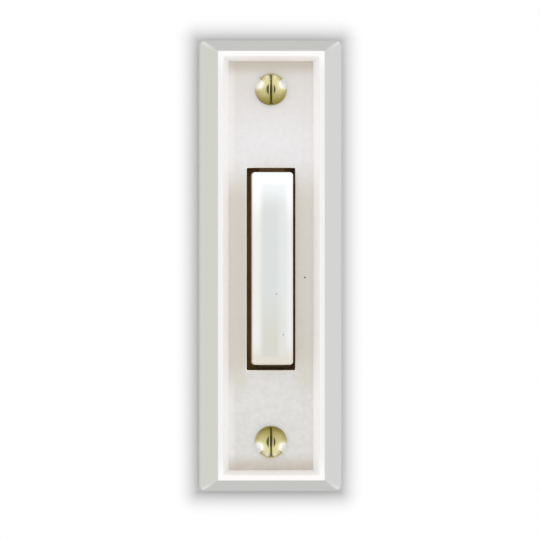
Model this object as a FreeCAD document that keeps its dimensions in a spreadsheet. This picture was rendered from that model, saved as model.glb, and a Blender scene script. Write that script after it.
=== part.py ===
import FreeCAD, Part
import math
import os
import re
import Sketcher

# Lighted doorbell push button for a door frame, in millimetres.
# X runs to the right seen from the front, Z runs up, and the front faces -Y.
# The wall plane is Y = 0, and every "height" is measured from it towards the front.

os.makedirs("parts", exist_ok=True)
document = FreeCAD.newDocument("DoorbellPushButton")
sheet = document.addObject("Spreadsheet::Sheet", "Sizes")

sizes = {
    # casing: outline, bevelled border and rim
    "cover_width": 25.4,
    "cover_length": 80.0,
    "outline_radius": 1.1,
    "side_height": 7.9,
    "rim_height": 12.7,
    "border_side": 3.28,
    "border_end": 2.07,
    "rim_radius": 0.45,
    "rim_flat": 0.9,
    "outline_rounding": 0.45,
    "rim_rounding": 0.25,
    # casing: sunk panel and window
    "panel_height": 10.1,
    "panel_thickness": 1.7,
    "slope_side": 1.02,
    "slope_end": 0.88,
    "panel_radius": 0.3,
    "window_width": 8.58,
    "window_length": 35.8,
    "window_drop": 0.6,
    "window_radius": 0.25,
    "window_rounding": 0.12,
    # casing: the hollow behind
    "cover_wall": 1.6,
    "hollow_radius": 0.8,
    "hollow_rounding": 0.5,
    "groove_inset": 0.8,
    "groove_width": 1.2,
    "groove_length": 70.0,
    "groove_depth": 1.2,
    "post_inset": 8.8,
    "post_shoulder_diameter": 8.0,
    "post_diameter": 6.0,
    "post_hole_diameter": 3.4,
    "post_setback": 0.2,
    "peg_inset_side": 1.95,
    "peg_inset_end": 6.2,
    "peg_shoulder_diameter": 2.8,
    "peg_diameter": 2.0,
    "peg_head_diameter": 3.2,
    "peg_head_height": 0.9,
    "peg_head_rounding": 0.6,
    # push bar
    "bar_width": 7.15,
    "bar_length": 34.0,
    "bar_shift": 0.15,
    "bar_lift": 0.1,
    "bar_radius": 0.9,
    "bar_height": 13.1,
    "press_travel": 1.6,
    "crown_depth": 1.0,
    "crown_left": 1.4,
    "crown_right": 0.85,
    "crown_top": 2.2,
    "crown_bottom": 1.4,
    "crown_radius": 1.0,
    "crown_rounding": 0.4,
    "shoulder_rounding": 0.35,
    "tab_width": 4.6,
    "tab_reach": 2.1,
    "tab_thickness": 1.2,
    "tab_radius": 0.6,
    "bar_wall": 1.2,
    "bar_rib_spacing": 17.0,
    "bar_rib_thickness": 0.9,
    "bar_rib_setback": 1.7,
    "bar_hollow_radius": 0.4,
    # base plate
    "board_height": 2.8,
    "board_thickness": 1.6,
    "board_gap": 0.5,
    "board_radius": 1.5,
    "board_post_clearance": 0.25,
    "board_peg_clearance": 0.1,
    "board_screw_clearance": 0.2,
    "board_rivet_clearance": 0.05,
    "board_lead_clearance": 0.3,
    # leaf spring and fixed strip
    "leaf_thickness": 0.3,
    "leaf_width": 7.0,
    "foot_reach": 3.7,
    "contact_reach": 2.1,
    "leaf_pad_reach": 2.7,
    "leaf_pad_inset": 0.5,
    "leaf_tip_inset": 0.9,
    "leaf_ramp_length": 11.0,
    "leaf_gap": 0.1,
    "leaf_bend_radius": 4.0,
    "fork_width": 4.2,
    "fork_top_inset": 5.0,
    "fork_bottom_inset": 3.9,
    "fork_radius": 1.2,
    "strip_width": 7.0,
    "strip_thickness": 0.3,
    "strip_radius": 1.0,
    # rivets and contacts
    "rivet_inset": 4.8,
    "rivet_head_diameter": 2.8,
    "rivet_head_height": 0.6,
    "rivet_shank_diameter": 1.6,
    "rivet_clinch_diameter": 2.6,
    "rivet_clinch_height": 0.5,
    "contact_inset": 4.2,
    "contact_diameter": 2.4,
    "fixed_contact_height": 0.3,
    "moving_contact_height": 0.35,
    "contact_shank_diameter": 1.2,
    "contact_clinch_diameter": 1.8,
    "contact_clinch_height": 0.25,
    # terminals
    "terminal_inset": 7.7,
    "terminal_collar_diameter": 4.4,
    "terminal_collar_height": 1.0,
    "terminal_thread_diameter": 2.9,
    "terminal_thread_clearance": 0.03,
    "terminal_screw_length": 4.0,
    "terminal_head_diameter": 5.4,
    "terminal_head_height": 1.5,
    "terminal_head_edge": 0.6,
    "terminal_slot_width": 0.8,
    "terminal_slot_depth": 0.8,
    "washer_diameter": 6.2,
    "washer_thickness": 0.5,
    "washer_hole_diameter": 3.1,
    "washer_edge": 0.15,
    # lamp and its leads
    "lamp_stand_off": 0.2,
    "lamp_flange_diameter": 3.4,
    "lamp_flange_height": 1.0,
    "lamp_diameter": 3.0,
    "lamp_headroom": 0.5,
    "lamp_flat": 0.2,
    "lead_spacing": 2.54,
    "lead_diameter": 0.5,
    "lead_bend_radius": 0.6,
    "lead_gap": 0.1,
    # resistor
    "resistor_side": 3.6,
    "resistor_top_gap": 1.15,
    "resistor_length": 6.3,
    "resistor_diameter": 2.2,
    "resistor_waist_diameter": 1.9,
    "resistor_cap_length": 1.2,
    "resistor_rounding": 0.35,
    "resistor_gap": 0.1,
    "lead_end_gap": 0.08,
    # wall screws
    "wall_screw_length": 25.4,
    "wall_screw_diameter": 2.84,
    "wall_screw_neck_diameter": 2.2,
    "wall_screw_thread_length": 15.3,
    "wall_screw_tip_length": 3.2,
    "wall_screw_head_diameter": 5.65,
    "wall_screw_head_height": 1.9,
    "wall_screw_head_edge": 0.25,
    "wall_screw_slot_width": 0.95,
    "wall_screw_slot_depth": 1.1,
}

for row, (alias, size) in enumerate(sizes.items(), start=1):
    sheet.set(f"A{row}", alias)
    sheet.set(f"B{row}", str(size))
    sheet.setAlias(f"B{row}", alias)
document.recompute()

# Heights and places that several pieces share, worked out from the sizes above.
PANEL_BACK = "(panel_height - panel_thickness)"
BOARD_FRONT = "(board_height + board_thickness)"
BAR_FOOT = f"({PANEL_BACK} - tab_thickness)"
LEAF_TOP = f"({BAR_FOOT} - leaf_gap)"
LEAF_UNDERSIDE = f"({LEAF_TOP} - leaf_thickness)"
WINDOW_Z = "(-window_drop)"
BAR_X = "bar_shift"
BAR_Z = "(bar_lift - window_drop)"
BAR_SHOULDER = "(bar_height - crown_depth)"
BAR_CEILING = "(bar_height - bar_wall)"
POST_Z = "(cover_length / 2 - post_inset)"
TERMINAL_Z = f"({POST_Z} - terminal_inset)"
RIVET_Z = f"({TERMINAL_Z} - rivet_inset)"
# The leaf presses on the bar's foot: its ramp and contact lie clear of the rivets and inside the bar's ends.
RAMP_TOP = f"min({RIVET_Z} - leaf_pad_reach; bar_length / 2 + {BAR_Z} - leaf_pad_inset)"
CONTACT_Z = f"min({RIVET_Z} - contact_inset; bar_length / 2 - {BAR_Z} - contact_reach - leaf_tip_inset)"


def linked(expression):
    """The expression with each size name pointed at the sheet."""
    return re.sub(r"\b[a-z]+(?:_[a-z]+)+\b", lambda name: "Sizes." + name.group(), expression)


def number(expression):
    """The present value of an expression, in millimetres."""
    return float(sheet.evalExpression(linked(expression)))


def new_body(name, height="0", z="0", turned=False):
    """A named body at a height above the wall plane, which faces the wall if it is turned."""
    body = document.addObject("PartDesign::Body", name)
    body.Label = name
    if turned:
        body.Placement.Rotation = FreeCAD.Rotation(FreeCAD.Vector(0, 0, 1), 180)
    body.setExpression("Placement.Base.y", linked(f"-({height})"))
    body.setExpression("Placement.Base.z", linked(z))
    return body


def new_sketch(body, name, offset="0", plane="XZ_Plane"):
    """A sketch on one of the body's own planes. On XZ_Plane the offset is a height."""
    sketch = body.newObject("Sketcher::SketchObject", f"{body.Name}_{name}")
    support = next(item for item in body.Origin.OriginFeatures if item.Role == plane)
    sketch.AttachmentSupport = [(support, "")]
    sketch.MapMode = "FlatFace"
    sketch.setExpression("AttachmentOffset.Base.z", linked(offset))
    return sketch


def fix(sketch, kind, *places, value):
    """A dimension in a sketch, bound to an expression of the sizes."""
    index = sketch.addConstraint(Sketcher.Constraint(kind, *places, number(value)))
    sketch.setExpression(f"Constraints[{index}]", linked(value))


def fix_point(sketch, geometry, end, x, y):
    """Hold one point of a sketch at a place given by two expressions."""
    fix(sketch, "DistanceX", -1, 1, geometry, end, value=x)
    fix(sketch, "DistanceY", -1, 1, geometry, end, value=y)


def add_circle(sketch, x, y, diameter):
    centre = FreeCAD.Vector(number(x), number(y), 0)
    radius = f"({diameter}) / 2"
    circle = sketch.addGeometry(Part.Circle(centre, FreeCAD.Vector(0, 0, 1), number(radius)))
    fix_point(sketch, circle, 3, x, y)
    fix(sketch, "Radius", circle, value=radius)


def add_rectangle(sketch, width, length, radius, x="0", y="0"):
    """A rectangle with rounded corners: four arcs held by their centres, and the lines between them."""
    half_width = f"(({width}) / 2 - ({radius}))"
    half_length = f"(({length}) / 2 - ({radius}))"
    arcs = []
    for turn, (side, end) in enumerate([(1, 1), (-1, 1), (-1, -1), (1, -1)]):
        place = (f"{x} + {side} * {half_width}", f"{y} + {end} * {half_length}")
        centre = FreeCAD.Vector(number(place[0]), number(place[1]), 0)
        circle = Part.Circle(centre, FreeCAD.Vector(0, 0, 1), number(radius))
        quarter = math.pi / 2
        arc = sketch.addGeometry(Part.ArcOfCircle(circle, turn * quarter, (turn + 1) * quarter))
        fix_point(sketch, arc, 3, *place)
        arcs.append(arc)
    for arc, following in zip(arcs, arcs[1:] + arcs[:1]):
        side = Part.LineSegment(sketch.getPoint(arc, 2), sketch.getPoint(following, 1))
        line = sketch.addGeometry(side)
        sketch.addConstraint(Sketcher.Constraint("Tangent", arc, 2, line, 1))
        sketch.addConstraint(Sketcher.Constraint("Tangent", line, 2, following, 1))
    for arc in arcs[1:]:
        sketch.addConstraint(Sketcher.Constraint("Equal", arcs[0], arc))
    fix(sketch, "Radius", arcs[0], value=radius)


def add_outline(sketch, corners):
    """A closed outline through corners (x, y), or (x, y, radius) where a round edge arrives at one.

    A round edge turns to the right as the outline runs.
    """
    points = [FreeCAD.Vector(number(corner[0]), number(corner[1]), 0) for corner in corners]
    edges = []
    for index, corner in enumerate(corners):
        start, finish = points[index - 1], points[index]
        if len(corner) == 2:
            edges.append((sketch.addGeometry(Part.LineSegment(start, finish)), 1, 2))
            continue
        chord = finish - start
        outwards = FreeCAD.Vector(-chord.y, chord.x, 0).normalize()
        radius = number(corner[2])
        rise = radius - math.sqrt(radius ** 2 - (chord.Length / 2) ** 2)
        arc = Part.Arc(start, (start + finish) / 2 + outwards * rise, finish)
        # an arc is kept counter-clockwise, so its stored ends are the other way round
        edges.append((sketch.addGeometry(arc), 2, 1))
        fix(sketch, "Radius", edges[-1][0], value=corner[2])
    for index, (edge, tail, head) in enumerate(edges):
        before, _, head_before = edges[index - 1]
        sketch.addConstraint(Sketcher.Constraint("Coincident", before, head_before, edge, tail))
        fix_point(sketch, edge, head, corners[index][0], corners[index][1])


def add_bent_line(sketch, corners, radius):
    """An open line through corners (x, y), with a tangent arc of the radius at each inner one."""
    points = [FreeCAD.Vector(number(x), number(y), 0) for x, y in corners]
    stops = [points[0]]
    arcs = []
    for before, corner, after in zip(points, points[1:], points[2:]):
        back = (before - corner).normalize()
        onward = (after - corner).normalize()
        half = back.getAngle(onward) / 2
        reach = number(radius) / math.tan(half)
        nearest = number(radius) / math.sin(half) - number(radius)
        start, finish = corner + back * reach, corner + onward * reach
        arcs.append(Part.Arc(start, corner + (back + onward).normalize() * nearest, finish))
        stops += [start, finish]
    stops.append(points[-1])
    lines = [sketch.addGeometry(Part.LineSegment(*pair)) for pair in zip(stops[::2], stops[1::2])]
    fix_point(sketch, lines[0], 1, *corners[0])
    fix_point(sketch, lines[-1], 2, *corners[-1])
    for index, arc in enumerate(arcs, start=1):
        bend = sketch.addGeometry(arc)
        turn = (points[index] - points[index - 1]).cross(points[index + 1] - points[index]).z
        tail, head = (1, 2) if turn > 0 else (2, 1)
        before, after = lines[index - 1], lines[index]
        sketch.addConstraint(Sketcher.Constraint("Tangent", before, 2, bend, tail))
        sketch.addConstraint(Sketcher.Constraint("Tangent", bend, head, after, 1))
        fix(sketch, "Radius", bend, value=radius)
        corner = sketch.addGeometry(Part.Point(points[index]), True)
        fix_point(sketch, corner, 1, *corners[index])
        sketch.addConstraint(Sketcher.Constraint("PointOnObject", corner, 1, before))
        sketch.addConstraint(Sketcher.Constraint("PointOnObject", corner, 1, after))


def extrude(body, kind, sketch, length, reverse=False):
    """A pad, which grows towards the front, or a pocket, which sinks towards the wall."""
    before = 0 if body.Tip is None else body.Shape.Volume
    feature = body.newObject(f"PartDesign::{kind}", f"{sketch.Name}_{kind}")
    feature.Profile = sketch
    feature.setExpression("Length", linked(length))
    feature.Reversed = reverse
    document.recompute()
    grown = body.Shape.Volume - before
    if (kind == "Pad") != (grown > 0) or abs(grown) < 1e-6:
        raise RuntimeError(f"{feature.Name} doesn't change {body.Name} as it should")


def loft(body, kind, lower, upper):
    """A ruled loft between two sketches of like outline."""
    feature = body.newObject(f"PartDesign::{kind}", f"{upper.Name}_{kind}")
    feature.Profile = lower
    feature.Sections = [upper]
    feature.Ruled = True
    document.recompute()


def revolve(body, corners):
    """A turned solid about the body's Y axis. A corner is (place along Y, radius)."""
    profile = new_sketch(body, "profile", plane="YZ_Plane")
    add_outline(profile, corners)
    feature = body.newObject("PartDesign::Revolution", f"{body.Name}_turning")
    feature.Profile = profile
    feature.ReferenceAxis = (profile, ["H_Axis"])
    feature.Angle = 360
    document.recompute()


def sweep(body, section, path):
    feature = body.newObject("PartDesign::AdditivePipe", f"{body.Name}_sweep")
    feature.Profile = section
    feature.Spine = path
    document.recompute()


def edges_at(height, inside=None):
    """A test that picks the edges at a height, and within a distance of the Y axis if one is given."""
    def chosen(edge):
        box = edge.BoundBox
        level = max(abs(box.YMin + number(height)), abs(box.YMax + number(height))) < 1e-4
        return level and (inside is None or max(abs(box.XMin), abs(box.XMax)) < number(inside))
    return chosen


def dress(body, kind, size, chosen):
    """A fillet or a chamfer on the edges that the test picks."""
    base = body.Tip
    names = [f"Edge{index}" for index, edge in enumerate(base.Shape.Edges, start=1) if chosen(edge)]
    if not names:
        raise RuntimeError(f"no edge of {body.Name} to dress")
    feature = body.newObject(f"PartDesign::{kind}", f"{base.Name}_{kind}")
    feature.Base = (base, names)
    feature.setExpression("Radius" if kind == "Fillet" else "Size", linked(size))
    document.recompute()


def dome_radius(half_chord, rise):
    """The radius of a dome from half its width and its rise."""
    return f"((({half_chord}) ^ 2 + ({rise}) ^ 2) / (2 * ({rise})))"


# Cover: one moulding, with a bevelled border, a raised rim, a sunk panel and a window for the bar.
def make_cover():
    body = new_body("cover")
    rim_width = "(cover_width - 2 * border_side)"
    rim_length = "(cover_length - 2 * border_end)"

    outline = new_sketch(body, "outline")
    add_rectangle(outline, "cover_width", "cover_length", "outline_radius")
    extrude(body, "Pad", outline, "side_height")

    foot = new_sketch(body, "border_foot", "side_height")
    add_rectangle(foot, "cover_width", "cover_length", "outline_radius")
    rim = new_sketch(body, "border_rim", "rim_height")
    add_rectangle(rim, rim_width, rim_length, "rim_radius")
    loft(body, "AdditiveLoft", foot, rim)

    mouth = new_sketch(body, "recess_mouth", "rim_height")
    mouth_width = f"({rim_width} - 2 * rim_flat)"
    mouth_length = f"({rim_length} - 2 * rim_flat)"
    add_rectangle(mouth, mouth_width, mouth_length, "panel_radius")
    panel = new_sketch(body, "recess_panel", "panel_height")
    panel_width = f"({mouth_width} - 2 * slope_side)"
    panel_length = f"({mouth_length} - 2 * slope_end)"
    add_rectangle(panel, panel_width, panel_length, "panel_radius")
    loft(body, "SubtractiveLoft", mouth, panel)

    dress(body, "Fillet", "outline_rounding", edges_at("side_height"))
    dress(body, "Fillet", "rim_rounding", edges_at("rim_height"))
    make_hollow(body)
    make_posts(body)
    make_pegs(body)

    window = new_sketch(body, "window", "panel_height")
    add_rectangle(window, "window_width", "window_length", "window_radius", y=WINDOW_Z)
    extrude(body, "Pocket", window, "panel_thickness")
    dress(body, "Fillet", "window_rounding", edges_at("panel_height", inside="window_width / 2 + 0.01"))
    return body


# The hollow behind the panel, thinned along both long sides.
def make_hollow(body):
    hollow = new_sketch(body, "hollow")
    inner_width = "(cover_width - 2 * cover_wall)"
    add_rectangle(hollow, inner_width, "cover_length - 2 * cover_wall", "hollow_radius")
    extrude(body, "Pocket", hollow, PANEL_BACK, reverse=True)
    dress(body, "Fillet", "hollow_rounding", edges_at(PANEL_BACK))

    grooves = new_sketch(body, "grooves", PANEL_BACK)
    for side in (-1, 1):
        place = f"{side} * ({inner_width} / 2 - groove_inset - groove_width / 2)"
        add_rectangle(grooves, "groove_width", "groove_length", "groove_width / 3", x=place)
    extrude(body, "Pocket", grooves, "groove_depth", reverse=True)


# Two stepped posts that take the wall screws: the shoulder carries the board, the rest passes through it.
def make_posts(body):
    steps = [
        ("post_shoulder", "post_shoulder_diameter", PANEL_BACK, f"{PANEL_BACK} - {BOARD_FRONT}"),
        ("post", "post_diameter", BOARD_FRONT, f"{BOARD_FRONT} - post_setback"),
    ]
    for name, diameter, height, length in steps:
        sketch = new_sketch(body, name, height)
        for end in (-1, 1):
            add_circle(sketch, "0", f"{end} * {POST_Z}", diameter)
        extrude(body, "Pad", sketch, length, reverse=True)
    holes = new_sketch(body, "post_holes", "panel_height")
    for end in (-1, 1):
        add_circle(holes, "0", f"{end} * {POST_Z}", "post_hole_diameter")
    extrude(body, "Pocket", holes, "panel_height")


# Six stepped pegs: each passes through the board, and its tip is staked into a rounded head behind it.
def make_pegs(body):
    steps = [
        ("peg_shoulder", "peg_shoulder_diameter", PANEL_BACK, f"{PANEL_BACK} - {BOARD_FRONT}"),
        ("peg", "peg_diameter", BOARD_FRONT, "board_thickness"),
        ("peg_head", "peg_head_diameter", "board_height", "peg_head_height"),
    ]
    for name, diameter, height, length in steps:
        sketch = new_sketch(body, name, height)
        for x, z in peg_places():
            add_circle(sketch, x, z, diameter)
        extrude(body, "Pad", sketch, length, reverse=True)
    dress(body, "Fillet", "peg_head_rounding", edges_at("board_height - peg_head_height"))


def peg_places():
    x = "(cover_width / 2 - cover_wall - peg_inset_side)"
    z = f"({POST_Z} - peg_inset_end)"
    return [(f"{side} * {x}", f"{row} * {z}") for side in (-1, 1) for row in (-1, 0, 1)]


# Push bar: a hollow milky moulding with a crowned face, kept behind the panel by a tab at each end.
def make_push_bar():
    body = new_body("push_bar")
    tabs = new_sketch(body, "tabs", BAR_FOOT)
    add_rectangle(tabs, "tab_width", "bar_length + 2 * tab_reach", "tab_radius", BAR_X, BAR_Z)
    extrude(body, "Pad", tabs, "tab_thickness")
    stem = new_sketch(body, "stem", BAR_FOOT)
    add_rectangle(stem, "bar_width", "bar_length", "bar_radius", BAR_X, BAR_Z)
    extrude(body, "Pad", stem, f"{BAR_SHOULDER} - {BAR_FOOT}")

    shoulder = new_sketch(body, "shoulder", BAR_SHOULDER)
    add_rectangle(shoulder, "bar_width", "bar_length", "bar_radius", BAR_X, BAR_Z)
    crown = new_sketch(body, "crown", "bar_height")
    add_rectangle(
        crown,
        "bar_width - crown_left - crown_right",
        "bar_length - crown_top - crown_bottom",
        "crown_radius",
        f"{BAR_X} + (crown_left - crown_right) / 2",
        f"{BAR_Z} + (crown_bottom - crown_top) / 2",
    )
    loft(body, "AdditiveLoft", shoulder, crown)
    dress(body, "Fillet", "crown_rounding", edges_at("bar_height"))
    dress(body, "Fillet", "shoulder_rounding", edges_at(BAR_SHOULDER))

    hollow_width = "(bar_width - 2 * bar_wall)"
    hollow = new_sketch(body, "hollow", BAR_FOOT)
    add_rectangle(hollow, hollow_width, "bar_length - 2 * bar_wall", "bar_hollow_radius", BAR_X, BAR_Z)
    extrude(body, "Pocket", hollow, f"{BAR_CEILING} - {BAR_FOOT}", reverse=True)
    ribs = new_sketch(body, "ribs", BAR_CEILING)
    for end in (-1, 1):
        place = f"{BAR_Z} + {end} * bar_rib_spacing / 2"
        left, right = (f"{BAR_X} + {side} * (bar_width - bar_wall) / 2" for side in (-1, 1))
        top, bottom = (f"{place} + {side} * bar_rib_thickness / 2" for side in (1, -1))
        add_outline(ribs, [(left, top), (right, top), (right, bottom), (left, bottom)])
    extrude(body, "Pad", ribs, f"{BAR_CEILING} - {BAR_FOOT} - bar_rib_setback", reverse=True)
    return body


# Base plate: phenolic board, pierced for the posts, the pegs, the terminals, the rivets and the lamp's leads.
def make_base_plate():
    body = new_body("base_plate")
    board = new_sketch(body, "board", "board_height")
    board_width = "cover_width - 2 * cover_wall - 2 * board_gap"
    board_length = "cover_length - 2 * cover_wall - 2 * board_gap"
    add_rectangle(board, board_width, board_length, "board_radius")
    for x, z in peg_places():
        add_circle(board, x, z, "peg_diameter + 2 * board_peg_clearance")
    for end in (-1, 1):
        add_circle(board, "0", f"{end} * {POST_Z}", "post_diameter + 2 * board_post_clearance")
        terminal = "terminal_thread_diameter + 2 * board_screw_clearance"
        add_circle(board, "0", f"{end} * {TERMINAL_Z}", terminal)
        add_circle(board, "0", f"{end} * {RIVET_Z}", "rivet_shank_diameter + 2 * board_rivet_clearance")
        add_circle(board, "0", f"{end} * lead_spacing / 2", "lead_diameter + 2 * board_lead_clearance")
    add_circle(board, "0", f"-{CONTACT_Z}", "contact_shank_diameter + 2 * board_rivet_clearance")
    extrude(body, "Pad", board, "board_thickness")
    return body


# Tapped collar and rivet holes, alike in the leaf's foot and in the fixed strip.
def pierce(body, seat, terminal_z, holes):
    collar = new_sketch(body, "collar", seat)
    add_circle(collar, "0", terminal_z, "terminal_collar_diameter")
    extrude(body, "Pad", collar, "terminal_collar_height")
    tapping = new_sketch(body, "tapping", f"{seat} + terminal_collar_height")
    add_circle(tapping, "0", terminal_z, "terminal_thread_diameter + 2 * terminal_thread_clearance")
    extrude(body, "Pocket", tapping, f"{seat} + terminal_collar_height - {BOARD_FRONT}")
    piercing = new_sketch(body, "piercing", PANEL_BACK)
    for z, diameter in holes:
        add_circle(piercing, "0", z, f"{diameter} + 2 * board_rivet_clearance")
    extrude(body, "Pocket", piercing, f"{PANEL_BACK} - {BOARD_FRONT}")


# Contact leaf: a spring strip riveted at its top, that ramps up to bear under the bar's sides with two
# rails, forked round the lamp, and carries the moving contact on its free end.
def make_contact_leaf():
    body = new_body("contact_leaf")
    foot = f"{BOARD_FRONT} + leaf_thickness / 2"
    rail = f"{LEAF_TOP} - leaf_thickness / 2"
    top_end = f"({TERMINAL_Z} + foot_reach)"
    path = new_sketch(body, "path", plane="YZ_Plane")
    corners = [
        (f"-({foot})", top_end),
        (f"-({foot})", RAMP_TOP),
        (f"-({rail})", f"{RAMP_TOP} - leaf_ramp_length"),
        (f"-({rail})", f"-({CONTACT_Z} + contact_reach)"),
    ]
    add_bent_line(path, corners, "leaf_bend_radius")
    section = new_sketch(body, "section", top_end, plane="XY_Plane")
    left, right = "-leaf_width / 2", "leaf_width / 2"
    front, back = f"-({BOARD_FRONT} + leaf_thickness)", f"-{BOARD_FRONT}"
    add_outline(section, [(left, back), (right, back), (right, front), (left, front)])
    sweep(body, section, path)

    fork = new_sketch(body, "fork", PANEL_BACK)
    fork_top, fork_bottom = f"({RAMP_TOP} - fork_top_inset)", f"({CONTACT_Z} - fork_bottom_inset)"
    middle = f"({fork_top} - {fork_bottom}) / 2"
    add_rectangle(fork, "fork_width", f"{fork_top} + {fork_bottom}", "fork_radius", y=middle)
    extrude(body, "Pocket", fork, f"{PANEL_BACK} - {BOARD_FRONT}")
    holes = [(RIVET_Z, "rivet_shank_diameter"), (f"-{CONTACT_Z}", "contact_shank_diameter")]
    pierce(body, f"({BOARD_FRONT} + leaf_thickness)", TERMINAL_Z, holes)
    return body


# Fixed contact strip: flat brass on the front of the board, under the leaf's free end.
def make_fixed_contact_strip():
    body = new_body("fixed_contact_strip")
    strip = new_sketch(body, "strip", BOARD_FRONT)
    near, far = f"({CONTACT_Z} - contact_reach)", f"({TERMINAL_Z} + foot_reach)"
    add_rectangle(strip, "strip_width", f"{far} - {near}", "strip_radius", y=f"-({near} + {far}) / 2")
    extrude(body, "Pad", strip, "strip_thickness")
    holes = [(f"-{RIVET_Z}", "rivet_shank_diameter"), (f"-{CONTACT_Z}", "contact_shank_diameter")]
    pierce(body, f"({BOARD_FRONT} + strip_thickness)", f"-{TERMINAL_Z}", holes)
    return body


# A rivet with a domed head, a shank as long as what it grips, and a clinched end.
def make_rivet(name, height, z, grip, head, shank, clinch, turned=False):
    body = new_body(name, height, z, turned)
    head_radius, head_rise = f"({head[0]} / 2)", head[1]
    clinch_radius, clinch_rise = f"({clinch[0]} / 2)", clinch[1]
    corners = [
        (f"{grip} + {clinch_rise}", "0"),
        (f"-{head_rise}", "0"),
        ("0", head_radius, dome_radius(head_radius, head_rise)),
        ("0", f"{shank} / 2"),
        (grip, f"{shank} / 2"),
        (grip, clinch_radius),
        (f"{grip} + {clinch_rise} / 2", clinch_radius),
        (f"{grip} + {clinch_rise}", f"{clinch_radius} - {clinch_rise} / 2"),
    ]
    revolve(body, corners)
    return body


def make_rivets():
    plain = (("rivet_head_diameter", "rivet_head_height"), "rivet_shank_diameter",
             ("rivet_clinch_diameter", "rivet_clinch_height"))
    leaf_seat, leaf_grip = f"{BOARD_FRONT} + leaf_thickness", "(leaf_thickness + board_thickness)"
    strip_seat, strip_grip = f"{BOARD_FRONT} + strip_thickness", "(strip_thickness + board_thickness)"
    contact_clinch = ("contact_clinch_diameter", "contact_clinch_height")
    fixed_head = ("contact_diameter", "fixed_contact_height")
    moving_head = ("contact_diameter", "moving_contact_height")
    contact_shank = "contact_shank_diameter"
    return [
        make_rivet("leaf_rivet", leaf_seat, RIVET_Z, leaf_grip, *plain),
        make_rivet("strip_rivet", strip_seat, f"-{RIVET_Z}", strip_grip, *plain),
        make_rivet("fixed_contact", strip_seat, f"-{CONTACT_Z}", strip_grip,
                   fixed_head, contact_shank, contact_clinch),
        make_rivet("moving_contact", LEAF_UNDERSIDE, f"-{CONTACT_Z}", "leaf_thickness",
                   moving_head, contact_shank, contact_clinch, turned=True),
    ]


# A cut across a screw's domed head, from its top down.
def cut_slot(body, top, width, depth, head_diameter):
    slot = new_sketch(body, "slot", top)
    left, right = f"-{width} / 2", f"{width} / 2"
    low, high = f"-{head_diameter}", head_diameter
    add_outline(slot, [(left, high), (right, high), (right, low), (left, low)])
    extrude(body, "Pocket", slot, depth)


# Terminal screws: binding heads behind the board, threaded into the collars in front of it.
def make_terminal_screw(name, z):
    body = new_body(name, "board_height - washer_thickness", z, turned=True)
    head, thread = "terminal_head_diameter / 2", "terminal_thread_diameter / 2"
    dome = dome_radius(head, "terminal_head_height - terminal_head_edge")
    corners = [
        ("terminal_screw_length", "0"),
        ("-terminal_head_height", "0"),
        ("-terminal_head_edge", head, dome),
        ("0", head),
        ("0", thread),
        ("terminal_screw_length", thread),
    ]
    revolve(body, corners)
    cut_slot(body, "terminal_head_height", "terminal_slot_width", "terminal_slot_depth",
             "terminal_head_diameter")
    return body


# Wire washers: flat rings between the terminal screws' heads and the board.
def make_wire_washer(name, z):
    body = new_body(name, "board_height - washer_thickness", z)
    ring = new_sketch(body, "ring")
    add_circle(ring, "0", "0", "washer_diameter")
    add_circle(ring, "0", "0", "washer_hole_diameter")
    extrude(body, "Pad", ring, "washer_thickness")
    rim = "washer_diameter - washer_edge"
    dress(body, "Chamfer", "washer_edge",
          lambda edge: edge.BoundBox.XLength > number(rim) and edge.BoundBox.YLength < number("washer_edge"))
    return body


# Lamp: a light-emitting diode that stands on the board inside the bar, with a flat on its flange.
LAMP_BASE = f"({BOARD_FRONT} + lamp_stand_off)"


def make_led():
    body = new_body("led", LAMP_BASE)
    bulb = "lamp_diameter / 2"
    length = f"({BAR_CEILING} - press_travel - lamp_headroom - {LAMP_BASE})"
    corners = [
        ("0", "0"),
        (f"-{length}", "0"),
        (f"{bulb} - {length}", bulb, bulb),
        ("-lamp_flange_height", bulb),
        ("-lamp_flange_height", "lamp_flange_diameter / 2"),
        ("0", "lamp_flange_diameter / 2"),
    ]
    revolve(body, corners)
    flat = new_sketch(body, "flat", "lamp_flange_height")
    reach = "lamp_flange_diameter"
    low, high = f"-({reach}) / 2 - lamp_flat", "lamp_flat - lamp_flange_diameter / 2"
    add_outline(flat, [(f"-{reach}", high), (reach, high), (reach, low), (f"-{reach}", low)])
    extrude(body, "Pocket", flat, "lamp_flange_height")
    return body


# Leads: round wire behind the board. The lamp's upper lead runs along the board to the leaf's rivet, and its
# lower lead is a short pin. The resistor lies beside them, between that pin and the strip's rivet.
REAR_WIRE = "(board_height - lead_gap - lead_diameter / 2)"
RESISTOR_AXIS = "(board_height - resistor_gap - resistor_diameter / 2)"
RESISTOR_TOP = "(lead_spacing / 2 + resistor_top_gap)"
RESISTOR_BOTTOM = f"({RESISTOR_TOP} + resistor_length)"


def make_lamp_upper_lead():
    body = new_body("led_lead_upper")
    path = new_sketch(body, "path", plane="YZ_Plane")
    pitch = "lead_spacing / 2"
    stop = f"{RIVET_Z} - rivet_clinch_diameter / 2 - lead_end_gap"
    corners = [(f"-{LAMP_BASE}", pitch), (f"-{REAR_WIRE}", pitch), (f"-{REAR_WIRE}", stop)]
    add_bent_line(path, corners, "lead_bend_radius")
    section = new_sketch(body, "section", LAMP_BASE)
    add_circle(section, "0", pitch, "lead_diameter")
    sweep(body, section, path)
    return body


def make_lamp_lower_lead():
    body = new_body("led_lead_lower")
    section = new_sketch(body, "section", LAMP_BASE)
    add_circle(section, "0", "-lead_spacing / 2", "lead_diameter")
    extrude(body, "Pad", section, f"{LAMP_BASE} - {RESISTOR_AXIS} + lead_diameter", reverse=True)
    return body


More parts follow.
